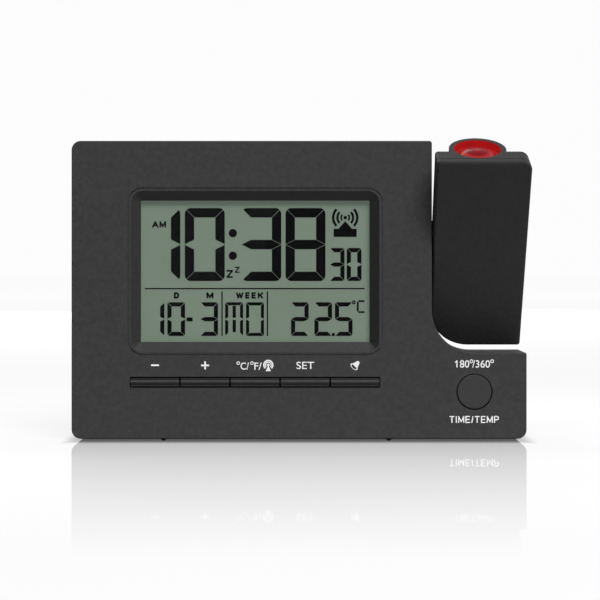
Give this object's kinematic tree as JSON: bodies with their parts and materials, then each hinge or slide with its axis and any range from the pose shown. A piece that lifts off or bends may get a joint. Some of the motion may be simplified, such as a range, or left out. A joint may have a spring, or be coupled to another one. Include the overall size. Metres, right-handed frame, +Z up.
{
  "type": "projection alarm clock",
  "caption": "Free-standing digital alarm clock with a liquid-crystal display, a row of front keys and a tilting projector arm with a focusing lens.",
  "frame": {"origin": "on the table, under the middle of the whole clock with its projector arm tilted as in use", "axes": "+X to the right seen from the front, +Y from the display to the rear cover, +Z up"},
  "size_m": [0.148, 0.0456, 0.0988],
  "materials": {
    "housing_black": "fine moulded texture, black",
    "arm_black": "fine moulded texture, black",
    "key_black": "satin moulded, black",
    "clear_pane": "polished clear",
    "lcd": "grey-green reflective liquid-crystal cell",
    "light_guide": "milky",
    "white_plastic": "moulded, white",
    "natural_plastic": "moulded, natural",
    "elastomer": "striped conductive elastomer",
    "circuit_board": "green solder mask",
    "epoxy": "glossy potting",
    "component_black": "moulded",
    "capacitor_sleeve": "printed sleeve",
    "tinned_steel": "tinned",
    "zinc_screw": "zinc-plated",
    "spring_steel": "nickel-plated spring wire",
    "ferrite": "sintered, dark grey",
    "copper_winding": "enamelled copper wire",
    "brass_disc": "brass",
    "foot_rubber": "soft, matt",
    "red_lamp": "clear red epoxy",
    "optic": "polished clear",
    "slide_glass": "negative display cell"
  },
  "bodies": {
    "base": {"front_housing": "housing_black", "rear_cover": "housing_black", "display_window": "clear_pane", "lcd_glass": "lcd", "backlight_guide": "light_guide", "lcd_frame": "white_plastic", "main_board": "circuit_board", "controller_chip": "epoxy", "clock_crystal": "tinned_steel", "receiver_module": "circuit_board", "temperature_sensor": "epoxy", "backlight_lamp": "white_plastic", "snooze_switch": "component_black", "buzzer": "brass_disc", "ferrite_rod": "ferrite", "aerial_coil": "copper_winding", "dc_jack": "component_black", "dc_jack_pin": "tinned_steel", "friction_washer": "spring_steel", "zebra_strips": "elastomer", "board_screws": "zinc_screw", "capacitors": "capacitor_sleeve", "key_switches": "component_black", "housing_screws": "zinc_screw", "rear_feet": "foot_rubber", "battery_plates": "spring_steel", "battery_springs": "spring_steel"},
    "arm": {"arm_front_shell": "arm_black", "arm_rear_shell": "arm_black", "pivot_axle": "natural_plastic", "retaining_clip": "spring_steel", "led_board": "circuit_board", "projection_led": "red_lamp", "lamp_holder": "component_black", "condenser_lens": "optic", "projection_lcd": "slide_glass", "slide_retainer": "component_black", "arm_screws": "zinc_screw"},
    "lens_carrier": {"lens_barrel": "component_black", "objective_lens": "optic"},
    "focus_wheel": {"focus_ring": "key_black"},
    "projection_button": {"projection_button": "key_black"},
    "snooze_bar": {"snooze_bar": "key_black"},
    "battery_door": {"battery_door": "housing_black"},
    "key_minus": {"key_minus": "key_black"},
    "key_plus": {"key_plus": "key_black"},
    "key_unit": {"key_unit": "key_black"},
    "key_set": {"key_set": "key_black"},
    "key_alarm": {"key_alarm": "key_black"}
  },
  "joints": [
    {"name": "arm_tilt", "type": "hinge", "parent": "base", "child": "arm", "pos_m": [0.0432, 0.0002, 0.06435], "axis": [1, 0, 0], "range_deg": [-116, 64]},
    {"name": "focus_turn", "type": "hinge", "parent": "arm", "child": "focus_wheel", "pos_m": [0.0576, 0.00119, 0.06483], "axis": [0, -0.4384, 0.8988], "range_deg": [-90, 90]},
    {"name": "lens_travel", "type": "slide", "parent": "arm", "child": "lens_carrier", "axis": [0, -0.4384, 0.8988], "range_m": [-0.0015, 0.0015]},
    {"name": "projection_press", "type": "slide", "parent": "base", "child": "projection_button", "axis": [0, 1, 0], "range_m": [0, 0.0008], "stiffness_N_per_m": 1500, "springref_m": -0.0002},
    {"name": "snooze_press", "type": "slide", "parent": "base", "child": "snooze_bar", "axis": [0, 0, -1], "range_m": [0, 0.0008], "stiffness_N_per_m": 1500, "springref_m": -0.0002},
    {"name": "battery_door_tip", "type": "hinge", "parent": "base", "child": "battery_door", "pos_m": [-0.01935, 0.0222, 0.02495], "axis": [-1, 0, 0], "range_deg": [0, 95]},
    {"name": "key_minus_press", "type": "slide", "parent": "base", "child": "key_minus", "axis": [0, 1, 0], "range_m": [0, 0.0008], "stiffness_N_per_m": 1500, "springref_m": -0.0002},
    {"name": "key_plus_press", "type": "slide", "parent": "base", "child": "key_plus", "axis": [0, 1, 0], "range_m": [0, 0.0008], "stiffness_N_per_m": 1500, "springref_m": -0.0002},
    {"name": "key_unit_press", "type": "slide", "parent": "base", "child": "key_unit", "axis": [0, 1, 0], "range_m": [0, 0.0008], "stiffness_N_per_m": 1500, "springref_m": -0.0002},
    {"name": "key_set_press", "type": "slide", "parent": "base", "child": "key_set", "axis": [0, 1, 0], "range_m": [0, 0.0008], "stiffness_N_per_m": 1500, "springref_m": -0.0002},
    {"name": "key_alarm_press", "type": "slide", "parent": "base", "child": "key_alarm", "axis": [0, 1, 0], "range_m": [0, 0.0008], "stiffness_N_per_m": 1500, "springref_m": -0.0002}
  ],
  "couplings": [
    {"joint": "focus_turn", "follows": "lens_travel", "rad_per_m": 1047}
  ]
}
